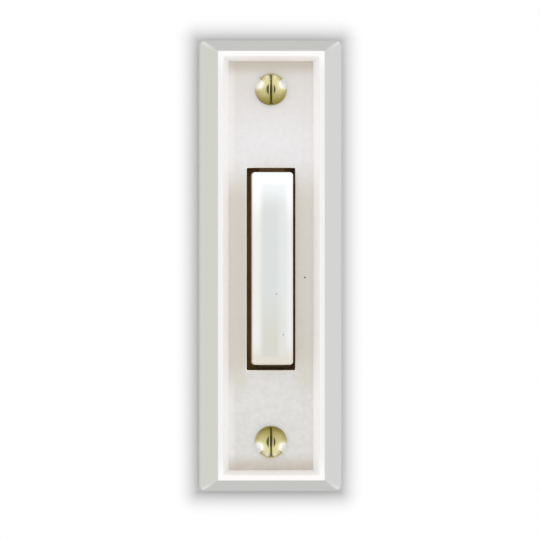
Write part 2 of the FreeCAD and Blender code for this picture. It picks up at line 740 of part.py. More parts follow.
def make_resistor_lead(name, start, end, stop, rise):
    """A wire from the resistor's end at z start, round one bend at z end, to a distance from the middle.

    It leans by its rise on the way to the middle, because the resistor's axis is lower than what it meets.
    """
    body = new_body(name, RESISTOR_AXIS)
    body.Placement.Rotation = FreeCAD.Rotation(FreeCAD.Vector(0, 0, 1), 1)
    body.setExpression("Placement.Base.x", linked("resistor_side"))
    body.setExpression("Placement.Rotation.Angle", linked(f"atan(({rise}) / resistor_side)"))
    path = new_sketch(body, "path")
    across = f"-(sqrt(resistor_side ^ 2 + ({rise}) ^ 2) - ({stop}))"
    add_bent_line(path, [("0", start), ("0", end), (across, end)], "lead_bend_radius")
    section = new_sketch(body, "section", start, "XY_Plane")
    add_circle(section, "0", "0", "lead_diameter")
    sweep(body, section, path)
    return body


def make_leads():
    pin_side = "lead_diameter / 2 + lead_end_gap"
    rivet_side = "rivet_clinch_diameter / 2 + lead_end_gap"
    rise = f"{REAR_WIRE} - {RESISTOR_AXIS}"
    return [
        make_lamp_upper_lead(),
        make_lamp_lower_lead(),
        make_resistor_lead("resistor_upper_lead", f"-{RESISTOR_TOP}", "-lead_spacing / 2", pin_side, "0"),
        make_resistor_lead("resistor_lower_lead", f"-{RESISTOR_BOTTOM}", f"-{RIVET_Z}", rivet_side, rise),
    ]


# Resistor: a turned body with two fatter ends, lying along the back of the board.
def make_resistor():
    body = new_body("resistor", RESISTOR_AXIS)
    body.setExpression("Placement.Base.x", linked("resistor_side"))
    profile = new_sketch(body, "profile", plane="YZ_Plane")
    cap, waist = "resistor_diameter / 2", "resistor_waist_diameter / 2"
    slant = "resistor_diameter / 2 - resistor_waist_diameter / 2"
    top, bottom = f"-{RESISTOR_TOP}", f"-{RESISTOR_BOTTOM}"
    corners = [
        ("0", bottom),
        ("0", top),
        (cap, top),
        (cap, f"{top} - resistor_cap_length"),
        (waist, f"{top} - resistor_cap_length - 2 * ({slant})"),
        (waist, f"{bottom} + resistor_cap_length + 2 * ({slant})"),
        (cap, f"{bottom} + resistor_cap_length"),
        (cap, bottom),
    ]
    add_outline(profile, corners)
    feature = body.newObject("PartDesign::Revolution", "resistor_turning")
    feature.Profile = profile
    feature.ReferenceAxis = (profile, ["V_Axis"])
    feature.Angle = 360
    document.recompute()
    widest = "resistor_diameter"
    dress(body, "Fillet", "resistor_rounding",
          lambda edge: edge.BoundBox.ZLength < 1e-4 and edge.BoundBox.XLength > number(widest) - 1e-3)
    return body


# Wall screws: slotted dome-head wood screws. The thread starts at the wall plane.
def make_mounting_screw(name, z):
    body = new_body(name, "panel_height", z)
    head, neck = "wall_screw_head_diameter / 2", "wall_screw_neck_diameter / 2"
    thread = "wall_screw_diameter / 2"
    dome = dome_radius(head, "wall_screw_head_height - wall_screw_head_edge")
    thread_start = "wall_screw_length - wall_screw_thread_length"
    corners = [
        ("wall_screw_length", "0"),
        ("-wall_screw_head_height", "0"),
        ("-wall_screw_head_edge", head, dome),
        ("0", head),
        ("0", neck),
        (thread_start, neck),
        (thread_start, thread),
        ("wall_screw_length - wall_screw_tip_length", thread),
    ]
    revolve(body, corners)
    cut_slot(body, "wall_screw_head_height", "wall_screw_slot_width", "wall_screw_slot_depth",
             "wall_screw_head_diameter")
    return body


pieces = [
    make_cover(),
    make_push_bar(),
    make_base_plate(),
    make_contact_leaf(),
    make_fixed_contact_strip(),
    *make_rivets(),
    make_led(),
    *make_leads(),
    make_resistor(),
]
for end, sign in (("upper", ""), ("lower", "-")):
    pieces.append(make_terminal_screw(f"{end}_terminal_screw", f"{sign}{TERMINAL_Z}"))
    pieces.append(make_wire_washer(f"{end}_wire_washer", f"{sign}{TERMINAL_Z}"))
    pieces.append(make_mounting_screw(f"{end}_mounting_screw", f"{sign}{POST_Z}"))

document.recompute()
failed = [item.Name for item in document.Objects if "Invalid" in item.State or "Error" in item.State]
if failed:
    raise RuntimeError(f"failed: {failed}")
for piece in pieces:
    if piece.Shape.isNull() or not piece.Shape.isValid() or len(piece.Shape.Solids) != 1:
        raise RuntimeError(f"{piece.Label} isn't one sound solid")
for piece in pieces:
    piece.Shape.exportStep(f"parts/{piece.Label}.step")
    print(piece.Label, round(piece.Shape.Volume, 2))
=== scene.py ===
import math

import bmesh
import bpy
from mathutils import Matrix, Vector


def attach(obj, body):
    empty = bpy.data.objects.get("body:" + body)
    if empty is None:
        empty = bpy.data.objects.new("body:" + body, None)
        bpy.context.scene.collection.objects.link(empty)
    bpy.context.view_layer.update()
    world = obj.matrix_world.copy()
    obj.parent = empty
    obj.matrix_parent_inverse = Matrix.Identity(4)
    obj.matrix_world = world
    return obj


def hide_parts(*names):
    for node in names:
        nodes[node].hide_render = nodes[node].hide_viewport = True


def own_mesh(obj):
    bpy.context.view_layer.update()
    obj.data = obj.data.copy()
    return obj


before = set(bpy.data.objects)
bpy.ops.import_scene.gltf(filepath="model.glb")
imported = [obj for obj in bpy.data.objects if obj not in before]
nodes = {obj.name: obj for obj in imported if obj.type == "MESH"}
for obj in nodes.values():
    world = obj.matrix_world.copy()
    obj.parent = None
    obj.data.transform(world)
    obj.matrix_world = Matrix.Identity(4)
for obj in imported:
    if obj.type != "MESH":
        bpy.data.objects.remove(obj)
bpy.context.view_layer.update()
bpy.ops.object.select_all(action="DESELECT")
bpy.context.scene.view_settings.view_transform = "Standard"

# Everything is in metres, in the frame of the model: the wall plane is y = 0 and the front faces -Y.
MM = 0.001


# Camera: square on to the door frame and a touch from the left, through a long lens.
# The photograph is 540 pixels square, with 5.65 pixels to each millimetre of the sunk panel.
FRAME_PIXELS = 540
PIXELS_PER_MM = 5.65
CAMERA_DISTANCE = 0.9
CAMERA_TURN = math.radians(1.6)
CAMERA_AIM = Vector((-0.17, -10.1, -0.77)) * MM

lens_data = bpy.data.cameras.new("camera")
lens_data.sensor_width = 36
lens_data.lens = lens_data.sensor_width * CAMERA_DISTANCE / (FRAME_PIXELS / PIXELS_PER_MM * MM)
camera = bpy.data.objects.new("camera", lens_data)
camera.location = CAMERA_AIM - CAMERA_DISTANCE * Vector((math.sin(CAMERA_TURN), math.cos(CAMERA_TURN), 0))
camera.rotation_euler = (math.pi / 2, 0, -CAMERA_TURN)
bpy.context.collection.objects.link(camera)
bpy.context.scene.camera = camera


# Backdrop: the plain wall that the button is fixed to, in matt white paint. It stands a hair behind the
# casing, and it is open there and clear from behind, so that the back of the button can be seen too.
WALL_SIZE = 2.0
WALL_COLOUR = "#B0B0B1"
HAIR = 0.05 * MM
OPENING_HALF, OPENING_EDGE = (12.3 * MM, 39.6 * MM), 0.5 * MM
# The painted shadow round the casing: its box, its shift downwards, its reach and its depth.
SHADOW_HALF, SHADOW_DROP = (12.7 * MM, 0, 40.35 * MM), (0, 0, 0.15 * MM)
SHADOW_REACH, SHADOW_DEPTH = 4.6 * MM, 0.88


def linear(code):
    """A hex colour, written as it looks on a screen, in the linear numbers that a node takes."""
    parts = [int(code[start:start + 2], 16) / 255 for start in (1, 3, 5)]
    return (*(part / 12.92 if part <= 0.04045 else ((part + 0.055) / 1.055) ** 2.4 for part in parts), 1.0)


def add_node(tree, kind, sockets=None, **settings):
    """Adds a node. Each socket gets a value, a hex colour, or the output that feeds it."""
    node = tree.nodes.new("ShaderNode" + kind)
    for name, value in settings.items():
        setattr(node, name, value)
    for socket, value in (sockets or {}).items():
        if isinstance(value, bpy.types.NodeSocket):
            tree.links.new(value, node.inputs[socket])
        else:
            node.inputs[socket].default_value = linear(value) if isinstance(value, str) else value
    return node


def choose(piece, kind, wanted):
    """In edit mode, selects the vertices, edges or faces whose corners pass a test, and no others."""
    bpy.ops.mesh.select_mode(type=kind)
    bpy.ops.mesh.select_all(action="DESELECT")
    shape = bmesh.from_edit_mesh(piece.data)
    for part in {"VERT": shape.verts, "EDGE": shape.edges, "FACE": shape.faces}[kind]:
        corners = [part.co] if kind == "VERT" else [corner.co for corner in part.verts]
        part.select_set(wanted(corners))
    bmesh.update_edit_mesh(piece.data)


bpy.ops.mesh.primitive_plane_add(size=WALL_SIZE, location=(0, HAIR, 0), rotation=(math.pi / 2, 0, 0))
wall = bpy.context.active_object
wall.name = "wall"
bpy.ops.object.transform_apply(location=True, rotation=True, scale=True)
bpy.ops.object.mode_set(mode="EDIT")
for axis, reach in (((1, 0, 0), OPENING_HALF[0]), ((0, 0, 1), OPENING_HALF[1])):
    for side in (-1, 1):
        bpy.ops.mesh.select_all(action="SELECT")
        bpy.ops.mesh.bisect(plane_co=Vector(axis) * reach * side, plane_no=axis)
choose(wall, "FACE", lambda corners: all(abs(co.x) < OPENING_HALF[0] + MM
                                         and abs(co.z) < OPENING_HALF[1] + MM for co in corners))
bpy.ops.mesh.delete(type="FACE")
bpy.ops.object.mode_set(mode="OBJECT")

# Matt paint. Near the casing the camera sees it in its own shade, which holds the casing's soft shadow; with
# distance from the casing it gives way to plain white, so that its grey there is a painted shadow as well.
# In the narrow ring next to the casing it stops the camera's view but lets light through, so that no black
# line shows there.
paint = bpy.data.materials.new("matt_wall_paint")
paint.use_nodes = True
tree = paint.node_tree
tree.nodes.clear()
place = add_node(tree, "TexCoord").outputs["Object"]
beside = add_node(tree, "VectorMath", {0: place, 1: SHADOW_DROP}, operation="ADD").outputs[0]
beside = add_node(tree, "VectorMath", {0: beside}, operation="ABSOLUTE").outputs[0]
beside = add_node(tree, "VectorMath", {0: beside, 1: SHADOW_HALF}, operation="SUBTRACT").outputs[0]
beside = add_node(tree, "VectorMath", {0: beside, 1: (0, 0, 0)}, operation="MAXIMUM").outputs[0]
distance = add_node(tree, "VectorMath", {0: beside}, operation="LENGTH").outputs["Value"]
# Painted shadow: the grey paint shows almost fully at the casing and gives way to white by SHADOW_REACH.
shadow = add_node(tree, "MapRange", {0: distance, 2: SHADOW_REACH, 3: 1.0, 4: 0.0}).outputs[0]
shadow = add_node(tree, "Math", {0: shadow, 1: 2.0}, operation="POWER").outputs[0]
clear = add_node(tree, "Math", {0: shadow, 1: -SHADOW_DEPTH, 2: 1.0}, operation="MULTIPLY_ADD").outputs[0]
rays = add_node(tree, "LightPath").outputs
seen = rays["Is Camera Ray"]
for ray in ("Is Glossy Ray", "Is Transmission Ray"):
    seen = add_node(tree, "Math", {0: seen, 1: rays[ray]}, operation="MAXIMUM").outputs[0]
white = add_node(tree, "Math", {0: seen, 1: clear}, operation="MULTIPLY").outputs[0]
matt = add_node(tree, "BsdfDiffuse", {"Color": WALL_COLOUR}).outputs[0]
glow = add_node(tree, "Emission", {"Color": (1, 1, 1, 1), "Strength": 1.0}).outputs[0]
front = add_node(tree, "MixShader", {0: white, 1: matt, 2: glow}).outputs[0]
behind = add_node(tree, "NewGeometry").outputs["Backfacing"]
ring = add_node(tree, "Math", {0: distance, 1: 0.0, 2: OPENING_EDGE}, operation="COMPARE").outputs[0]
ring = add_node(tree, "Math", {0: ring, 1: rays["Is Camera Ray"]}, operation="SUBTRACT").outputs[0]
open_wall = add_node(tree, "Math", {0: behind, 1: ring}, operation="MAXIMUM").outputs[0]
clear_back = add_node(tree, "BsdfTransparent").outputs[0]
both = add_node(tree, "MixShader", {0: open_wall, 1: front, 2: clear_back}).outputs[0]
add_node(tree, "OutputMaterial", {"Surface": both})
wall.data.materials.append(paint)


# Light: an even white tent all round, and nothing else. Only reflections see a dark patch in it, straight
# ahead and straight behind, which stands for the camera in front of shiny metal.
TENT_STRENGTH, MIRRORED_STRENGTH = 1.08, 1.0
CAMERA_DARK, CAMERA_CORE = 0.12, 0.7
CAMERA_REACH = (math.sin(math.radians(35)), math.sin(math.radians(46)))

world = bpy.data.worlds.new("light_tent")
world.use_nodes = True
bpy.context.scene.world = world
tree = world.node_tree
tree.nodes.clear()
direction = add_node(tree, "TexCoord").outputs["Generated"]
reach = (1 / CAMERA_REACH[0], 0, 1 / CAMERA_REACH[1])
aside = add_node(tree, "VectorMath", {0: direction, 1: reach}, operation="MULTIPLY").outputs[0]
aside = add_node(tree, "VectorMath", {0: aside}, operation="LENGTH").outputs["Value"]
rays = add_node(tree, "LightPath").outputs
mirrored = {0: aside, 1: CAMERA_CORE, 2: 1.0, 3: CAMERA_DARK, 4: MIRRORED_STRENGTH}
mirrored = add_node(tree, "MapRange", mirrored, interpolation_type="SMOOTHSTEP").outputs[0]
tent = {0: rays["Is Glossy Ray"], 2: TENT_STRENGTH, 3: mirrored}
tent = add_node(tree, "Mix", tent, data_type="FLOAT").outputs[0]
strength = {0: rays["Is Camera Ray"], 2: tent, 3: 1.0}
strength = add_node(tree, "Mix", strength, data_type="FLOAT").outputs[0]
background = add_node(tree, "Background", {"Color": (1, 1, 1, 1), "Strength": strength}).outputs[0]
add_node(tree, "OutputWorld", {"Surface": background})


# Cover: one injection moulding in white ABS with a bevelled border, a raised rim and a sunk panel. The mould
# left a fine pebble on the panel, and painted shade darkens the foot of its slopes.
# The crease white and the bevel and arris greys below are painted light and shade on the border.
RIM_WHITE, SIDE_RIM_WHITE, CREASE_HIGHLIGHT = "#FAF8F7", "#F1EFED", "#E9E9E6"
LEFT_BEVEL_SHADE, RIGHT_BEVEL_SHADE, END_BEVEL_SHADE, ARRIS_SHADE = "#D2D3CC", "#D5D6D3", "#C1C2BE", "#B2B4AF"
# All panel colours but the upper, both grimes and the window white are painted light and shade.
PANEL_LOWER_SHADE, PANEL_UPPER, PANEL_TOP_SHADE, PANEL_SIDE_LIGHT = "#DAD8D5", "#E6E4E4", "#D6D1CA", "#FFFDFB"
CLOUD_WHITE, PEBBLE_WHITE, WINDOW_EDGE_HIGHLIGHT = "#F2F1F2", "#F6F5F6", "#FBF6EA"
SLOPE_FOOT_SHADE, LANE_SHADE, SPECK_BROWN = "#B9A98C", "#D2CEC1", "#5A4C3C"
CLOUD_SIZE, PEBBLE_SIZE, PEBBLE_DEPTH = 1.3 * MM, 0.8 * MM, 0.06 * MM
PANEL_HEIGHT, PANEL_SKIN, ARRIS_HEIGHT = 10.1 * MM, 0.06 * MM, 7.95 * MM
PANEL_HALF, RIM_HALF = (7.5 * MM, 36.1 * MM), (9.42 * MM, 37.93 * MM)
BEVEL_WIDTH = (3.28 * MM, 2.07 * MM)
WINDOW_HALF, WINDOW_MIDDLE, LANE_MIDDLE = (4.29 * MM, 17.9 * MM), -0.6 * MM, -3 * MM
PANEL_SPECK = (6.0 * MM, -PANEL_HEIGHT, -2.1 * MM)


def new_material(name):
    """An empty material, its tree, and the place on the object that its pattern starts from."""
    material = bpy.data.materials.new(name)
    material.use_nodes = True
    tree = material.node_tree
    tree.nodes.clear()
    return material, tree, add_node(tree, "TexCoord").outputs["Object"]


def lay_coats(tree, colour, coats):
    """Lays coats of colour over one another. A coat is its colour and the fades that bound it.

    A fade is (value, start, end, low, high): its share runs softly from low to high as the value runs from
    start to end, and the shares of a coat are multiplied.
    """
    for over, *fades in coats:
        share = 1.0
        for fade in fades:
            part = dict(enumerate(fade))
            part = add_node(tree, "MapRange", part, interpolation_type="SMOOTHSTEP").outputs[0]
            share =add_node(tree, "Math", {0: share, 1: part}, operation="MULTIPLY").outputs[0]
        colour = add_node(tree, "Mix", {0: share, 6: colour, 7: over}, data_type="RGBA").outputs[2]
    return colour


def finish_node(name, material):
    """Gives a CAD node its material."""
    for slot in nodes[name].material_slots:
        slot.material = material


# Moulded ABS: a satin white, smooth on the border and pebbled on the panel. Painted shade greys the outer
# bevels and darkens and yellows the lanes beside the bar, and the rim stays white.
white_abs, tree, place = new_material("moulded_white_abs")
parts = add_node(tree, "SeparateXYZ", {0: place}).outputs
across = add_node(tree, "VectorMath", {0: place}, operation="ABSOLUTE").outputs[0]
across = add_node(tree, "SeparateXYZ", {0: across}).outputs
past_side = add_node(tree, "Math", {0: across["X"], 1: RIM_HALF[0]}, operation="SUBTRACT").outputs[0]
past_side = add_node(tree, "Math", {0: past_side, 1: BEVEL_WIDTH[0]}, operation="DIVIDE").outputs[0]
past_end = add_node(tree, "Math", {0: across["Z"], 1: RIM_HALF[1]}, operation="SUBTRACT").outputs[0]
past_end = add_node(tree, "Math", {0: past_end, 1: BEVEL_WIDTH[1]}, operation="DIVIDE").outputs[0]
past_rim = add_node(tree, "Math", {0: past_side, 1: past_end}, operation="MAXIMUM").outputs[0]
past_mitre = add_node(tree, "Math", {0: past_end, 1: past_side}, operation="SUBTRACT").outputs[0]
off_mitre = add_node(tree, "Math", {0: past_mitre}, operation="ABSOLUTE").outputs[0]
off_arris = add_node(tree, "Math", {0: parts["Y"], 1: ARRIS_HEIGHT}, operation="ADD").outputs[0]
off_arris = add_node(tree, "Math", {0: off_arris}, operation="ABSOLUTE").outputs[0]
# Painted shade greys the outer bevels, the left a little more than the right and the ends most.
side_bevel_shade = lay_coats(tree, LEFT_BEVEL_SHADE, [(RIGHT_BEVEL_SHADE, (parts["X"], -MM, MM, 0, 1))])
border = lay_coats(tree, RIM_WHITE, [
    (SIDE_RIM_WHITE, (parts["Y"], -12.3 * MM, -12.6 * MM, 0, 1), (across["Z"], 38 * MM, 33 * MM, 0, 1)),
    # Painted shade darkens the end slopes towards their foot.
    (SLOPE_FOOT_SHADE, (parts["Y"], -11.9 * MM, -10.2 * MM, 0, 0.12), (across["Z"], 35.9 * MM, 36.2 * MM, 0, 1)),
    (side_bevel_shade, (past_side, -0.04, 0.03, 0, 1)),
    (END_BEVEL_SHADE, (past_mitre, -0.02, 0.02, 0, 1), (past_end, -0.06, 0.04, 0, 1)),
    # A painted highlight along each mitre crease.
    (CREASE_HIGHLIGHT, (off_mitre, 0, 0.26, 0.85, 0), (past_end, 0, 0.8, 0, 1)),
    # Painted shade along the arris.
    (ARRIS_SHADE, (off_arris, 0.12 * MM, 0.36 * MM, 0.6, 0), (past_rim, 0.7, 0.9, 0, 1)),
])

# The real pebble is finer than the picture can show, so it is drawn 0.8 mm wide.
cloud = add_node(tree, "TexNoise", {"Vector": place, "Scale": 1 / CLOUD_SIZE, "Detail": 3.0}).outputs[0]
pebble = {"Vector": place, "Scale": 1 / PEBBLE_SIZE}
pebble = add_node(tree, "TexVoronoi", pebble, feature="SMOOTH_F1").outputs[0]
past_lane = add_node(tree, "Math", {0: parts["Z"], 1: LANE_MIDDLE}, operation="SUBTRACT").outputs[0]
past_lane = add_node(tree, "Math", {0: past_lane}, operation="ABSOLUTE").outputs[0]
to_side = add_node(tree, "Math", {0: across["X"], 1: WINDOW_HALF[0]}, operation="SUBTRACT").outputs[0]
to_end = add_node(tree, "Math", {0: parts["Z"], 1: WINDOW_MIDDLE}, operation="SUBTRACT").outputs[0]
to_end = add_node(tree, "Math", {0: to_end}, operation="ABSOLUTE").outputs[0]
to_end = add_node(tree, "Math", {0: to_end, 1: WINDOW_HALF[1]}, operation="SUBTRACT").outputs[0]
to_window = add_node(tree, "Math", {0: to_side, 1: to_end}, operation="MAXIMUM").outputs[0]
to_speck = add_node(tree, "VectorMath", {0: place, 1: PANEL_SPECK}, operation="DISTANCE").outputs["Value"]
panel = lay_coats(tree, PANEL_LOWER_SHADE, [
    # Painted shade: the panel is darker towards the bottom.
    (PANEL_UPPER, (parts["Z"], -30 * MM, 26 * MM, 0, 1)),
    (CLOUD_WHITE, (cloud, 0.35, 0.7, 0, 0.16)),
    (PEBBLE_WHITE, (pebble, 0.05, 0.6, 0.16, 0)),
    # Painted shade at the top end of the panel.
    (PANEL_TOP_SHADE, (parts["Z"], 21 * MM, 35 * MM, 0, 0.6)),
    # Painted light at the foot of the side slopes, stronger on the left.
    (PANEL_SIDE_LIGHT, (across["X"], 5.9 * MM, 7.3 * MM, 0, 1), (parts["X"], -MM, MM, 0.5, 0.12)),
    # Painted shade in the lanes beside the bar.
    (LANE_SHADE, (past_lane, 14 * MM, 22 * MM, 1, 0), (across["X"], 2.6 * MM, 5.4 * MM, 0, 1),
     (parts["X"], -MM, MM, 0.8, 0.6)),
    # Painted shade along the foot of the end slopes.
    (SLOPE_FOOT_SHADE, (across["Z"], PANEL_HALF[1] - 3.0 * MM, PANEL_HALF[1] - 0.6 * MM, 0, 0.45)),
    # A painted highlight round the window's edge, stronger on the left.
    (WINDOW_EDGE_HIGHLIGHT, (to_window, 0.1 * MM, 0.26 * MM, 1, 0), (parts["X"], 3.9 * MM, 4.3 * MM, 0.75, 0.25)),
    (SPECK_BROWN, (to_speck, 0.12 * MM, 0.2 * MM, 1, 0)),
])
on_panel = {0: parts["Y"], 1: -PANEL_HEIGHT, 2: PANEL_SKIN}
on_panel = add_node(tree, "Math", on_panel, operation="COMPARE").outputs[0]
inside = add_node(tree, "Math", {0: parts["X"], 1: 0.0, 2: PANEL_HALF[0]}, operation="COMPARE").outputs[0]
on_panel = add_node(tree, "Math", {0: on_panel, 1: inside}, operation="MULTIPLY").outputs[0]
colour = add_node(tree, "Mix", {0: on_panel, 6: border, 7: panel}, data_type="RGBA").outputs[2]
height = add_node(tree, "Math", {0: pebble, 1: on_panel}, operation="MULTIPLY").outputs[0]
bump = add_node(tree, "Bump", {"Height": height, "Strength": 0.4, "Distance": PEBBLE_DEPTH}).outputs[0]
rough = add_node(tree, "MapRange", {0: on_panel, 3: 0.28, 4: 0.42}).outputs[0]
surface = add_node(tree, "BsdfPrincipled", {"Base Color": colour, "Roughness": rough, "Normal": bump,
                                            "IOR": 1.54}).outputs[0]
add_node(tree, "OutputMaterial", {"Surface": surface})
finish_node("cover", white_abs)


# Push bar: a smooth, hollow moulding in milky translucent acrylic, with a soft pillow of a face that is drawn
# out in steps along a quarter ellipse. A tab at each end keeps it behind the panel, and two ribs stiffen it.
BAR_MIDDLE = (0.225 * MM, -0.5 * MM)
BAR_WIDTH, BAR_LENGTH = 7.2 * MM, 34.0 * MM
BAR_DRAFT = (0.22 * MM, 0.15 * MM)
CROWN_SIZE, CROWN_SHIFT, CROWN_STEPS = (4.7 * MM, 30.2 * MM), (0.25 * MM, -0.4 * MM), 16
BAR_FOOT, BAR_SHOULDER, BAR_TOP = 7.2 * MM, 12.1 * MM, 13.1 * MM
BAR_CORNER, BAR_WALL, BAR_CEILING = 0.6 * MM, 1.2 * MM, 11.9 * MM
TAB_HALF, TAB_TOP = (2.3 * MM, 19.1 * MM), 8.4 * MM
RIB_FOOT, RIBS = 8.9 * MM, [(-8.95 * MM, -8.05 * MM), (8.05 * MM, 8.95 * MM)]


def cut(piece, tool, operation="DIFFERENCE"):
    """Cuts the tool out of the piece, or joins it on, and clears the tool away."""
    bpy.context.view_layer.objects.active = piece
    join = piece.modifiers.new("cut", "BOOLEAN")
    join.operation = operation
    join.object = tool
    bpy.ops.object.modifier_apply(modifier=join.name)
    bpy.data.objects.remove(tool)


def add_block(low, high):
    """A block between two corners, with its place in its mesh."""
    bpy.ops.object.select_all(action="DESELECT")
    low, high = Vector(low), Vector(high)
    bpy.ops.mesh.primitive_cube_add(size=1, location=(low + high) / 2, scale=high - low)
    bpy.ops.object.transform_apply(location=True, rotation=True, scale=True)
    return bpy.context.active_object


x, z = BAR_MIDDLE
bar = add_block((x - BAR_WIDTH / 2, -BAR_SHOULDER, z - BAR_LENGTH / 2),
                (x + BAR_WIDTH / 2, -BAR_FOOT, z + BAR_LENGTH / 2))
bar.name = "push_bar_moulding"
bpy.ops.object.mode_set(mode="EDIT")
choose(bar, "EDGE", lambda ends: abs(ends[0].y - ends[1].y) > MM)
bpy.ops.mesh.bevel(offset=BAR_CORNER, segments=10)
choose(bar, "VERT", lambda corners: corners[0].y > -BAR_FOOT - 0.01 * MM)
bpy.ops.transform.resize(value=(1 + 2 * BAR_DRAFT[0] / BAR_WIDTH, 1, 1 + 2 * BAR_DRAFT[1] / BAR_LENGTH),
                         center_override=(x, -BAR_FOOT, z))
choose(bar, "FACE", lambda corners: all(co.y < -BAR_SHOULDER + 0.01 * MM for co in corners))
middle, spread = Vector((x, -BAR_SHOULDER, z)), (1.0, 1.0)
for step in range(1, CROWN_STEPS + 1):
    lean = step / CROWN_STEPS * math.pi / 2
    inward = 1 - math.cos(lean)
    place = Vector((x + CROWN_SHIFT[0] * inward, -BAR_SHOULDER - (BAR_TOP - BAR_SHOULDER) * math.sin(lean),
                    z + CROWN_SHIFT[1] * inward))
    size = (1 - (1 - CROWN_SIZE[0] / BAR_WIDTH) * inward, 1 - (1 - CROWN_SIZE[1] / BAR_LENGTH) * inward)
    bpy.ops.mesh.extrude_region_move(TRANSFORM_OT_translate={"value": place - middle})
    bpy.ops.transform.resize(value=(size[0] / spread[0], 1, size[1] / spread[1]), center_override=place)
    middle, spread = place, size
bpy.ops.object.mode_set(mode="OBJECT")
cut(bar, add_block((x - TAB_HALF[0], -TAB_TOP, z - TAB_HALF[1]),
                   (x + TAB_HALF[0], -BAR_FOOT, z + TAB_HALF[1])), "UNION")
HOLLOW_HALF = (BAR_WIDTH / 2 - BAR_WALL, BAR_LENGTH / 2 - BAR_WALL)
cut(bar, add_block((x - HOLLOW_HALF[0], -RIB_FOOT, z - HOLLOW_HALF[1]),
                   (x + HOLLOW_HALF[0], -7 * MM, z + HOLLOW_HALF[1])))
cells = ((-HOLLOW_HALF[1], RIBS[0][0]), (RIBS[0][1], RIBS[1][0]), (RIBS[1][1], HOLLOW_HALF[1]))
for low, high in cells:
    cut(bar, add_block((x - HOLLOW_HALF[0], -BAR_CEILING, z + low),
                       (x + HOLLOW_HALF[0], -8.8 * MM, z + high)))
bpy.ops.object.select_all(action="DESELECT")
bar.select_set(True)
bpy.ops.object.shade_smooth_by_angle(angle=math.radians(35))

# Milky acrylic: light goes a little way into it, which softens its shading. Its crown is a cool grey with
# painted light and shade, the edges round it are whiter as a painted highlight, and low in the gap painted
# brown shade darkens it.
# The crown's lower, right and upper colours and the three edge colours are painted light and shade.
CROWN_GREYS, CROWN_LOWER_SHADE, CROWN_RIGHT_LIGHT, CROWN_UPPER_HIGHLIGHT = ("#D7DBD9", "#DEE0DE"), "#D8D7CF", "#EEF2F3", "#F8FBFC"
EDGE_LOWER_SHADE, EDGE_HIGHLIGHT, EDGE_UPPER_HIGHLIGHT = "#DED9CD", "#E9E9E5", "#FFFFFF"
# The gap colours are painted shade, brown, darker to the right and at the ends.
LEFT_GAP_SHADE, RIGHT_GAP_SHADE, END_GAP_SHADE, FOOT_GAP_SHADE = "#E2C795", "#BF9650", "#8E7548", "#4A3614"
BAR_SPECKS, BAR_SPECK_BROWN = [(0.9 * MM, -5.0 * MM), (2.1 * MM, -12.2 * MM)], "#6B5F4E"
# axis, middle, and how far from it the painted highlight on the edge starts and is full, in mm
LIT_EDGES = [("X", 0.4, 1.65, 2.7), ("Z", -0.9, 14.9, 15.5)]
milky, tree, place = new_material("milky_acrylic")
parts = add_node(tree, "SeparateXYZ", {0: place}).outputs
cloud = add_node(tree, "TexNoise", {"Vector": place, "Scale": 1 / (12 * MM), "Detail": 3.0}).outputs[0]
crown = {0: cloud, 6: CROWN_GREYS[0], 7: CROWN_GREYS[1]}
crown = add_node(tree, "Mix", crown, data_type="RGBA").outputs[2]
# Painted shade on the crown low down, painted light to its right and a painted highlight near its top.
crown = lay_coats(tree, crown, [
    (CROWN_LOWER_SHADE, (parts["Z"], -3 * MM, -14 * MM, 0, 1)),
    (CROWN_RIGHT_LIGHT, (parts["X"], 0.6 * MM, 2.0 * MM, 0, 0.35)),
    (CROWN_UPPER_HIGHLIGHT, (parts["Z"], 9.5 * MM, 14.5 * MM, 0, 0.8)),
])
# The edge colours: a painted highlight, white at the top and a darker cream low down.
edge = lay_coats(tree, EDGE_LOWER_SHADE, [
    (EDGE_HIGHLIGHT, (parts["Z"], -17.5 * MM, -13 * MM, 0, 1)),
    (EDGE_UPPER_HIGHLIGHT, (parts["Z"], 6 * MM, 15.5 * MM, 0, 1)),
])
# The edges round the crown, found by distance from the middle, take the painted highlight.
lit_edges = 0.0
for axis, middle, start, end in LIT_EDGES:
    off = add_node(tree, "Math", {0: parts[axis], 1: middle * MM}, operation="SUBTRACT").outputs[0]
    off = add_node(tree, "Math", {0: off}, operation="ABSOLUTE").outputs[0]
    off = {0: off, 1: start * MM, 2: end * MM}
    off = add_node(tree, "MapRange", off, interpolation_type="SMOOTHSTEP").outputs[0]
    lit_edges = add_node(tree, "Math", {0: lit_edges, 1: off}, operation="MAXIMUM").outputs[0]
colour = add_node(tree, "Mix", {0: lit_edges, 6: crown, 7: edge}, data_type="RGBA").outputs[2]
for x, z in BAR_SPECKS:
    to_speck = {0: place, 1: (x, -BAR_TOP, z)}
    to_speck = add_node(tree, "VectorMath", to_speck, operation="DISTANCE").outputs["Value"]
    colour = lay_coats(tree, colour, [(BAR_SPECK_BROWN, (to_speck, 0.08 * MM, 0.15 * MM, 0.8, 0))])
from_middle = add_node(tree, "Math", {0: parts["Z"], 1: BAR_MIDDLE[1]}, operation="SUBTRACT").outputs[0]
from_middle = add_node(tree, "Math", {0: from_middle}, operation="ABSOLUTE").outputs[0]
